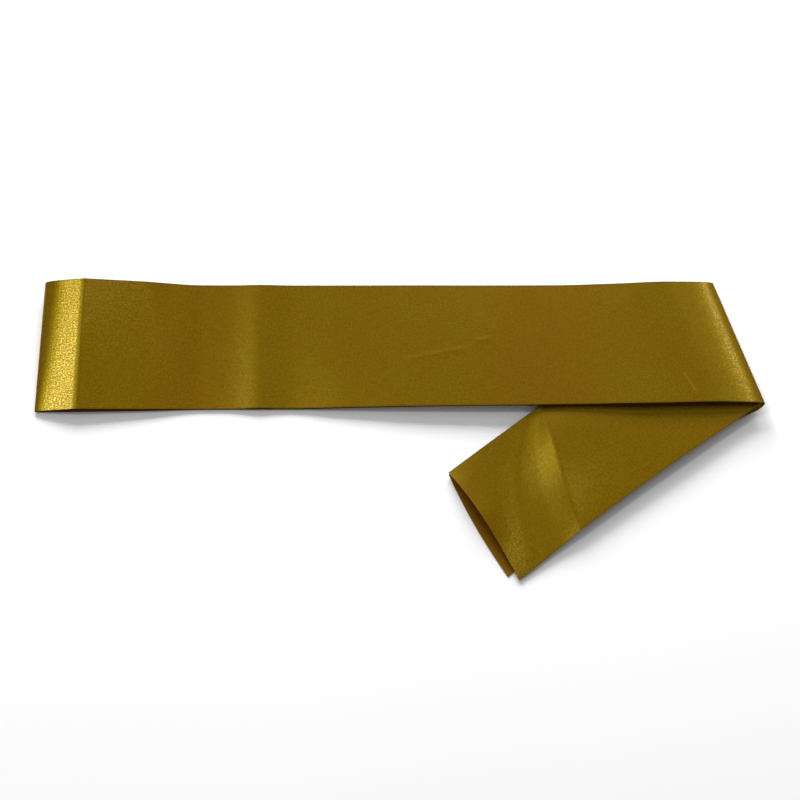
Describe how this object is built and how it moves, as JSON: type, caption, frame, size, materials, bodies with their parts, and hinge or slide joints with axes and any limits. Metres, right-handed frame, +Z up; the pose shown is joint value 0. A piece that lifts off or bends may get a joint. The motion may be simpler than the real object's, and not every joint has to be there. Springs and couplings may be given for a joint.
{
  "type": "satin sash",
  "caption": "Plain satin ribbon sash lying on a table, folded end to end into a flat band with its free ends turned under on the slant as a tail.",
  "frame": {"origin": "on the table, under the middle of the band, at the flat underside of its lower run", "axes": "+X along the band from the end fold to the slanting fold, +Y away from the tail across the band, +Z up from the table"},
  "size_m": [0.5358, 0.2339, 0.0195],
  "materials": {
    "satin": "satin weave, glossy face outward and dull back inward"
  },
  "bodies": {
    "root": {"lower_tail_tip": "satin", "lower_tail_root": "satin", "outer_fold": "satin", "upper_run_right": "satin", "upper_run_rise": "satin", "upper_run_middle": "satin", "upper_run_left": "satin", "left_fold": "satin", "lower_run_left": "satin", "lower_run_middle": "satin", "lower_run_rise": "satin", "lower_run_right": "satin", "inner_fold": "satin", "upper_tail_root": "satin", "upper_tail_hump": "satin", "upper_tail_flank": "satin", "upper_tail_tip": "satin"}
  },
  "joints": []
}
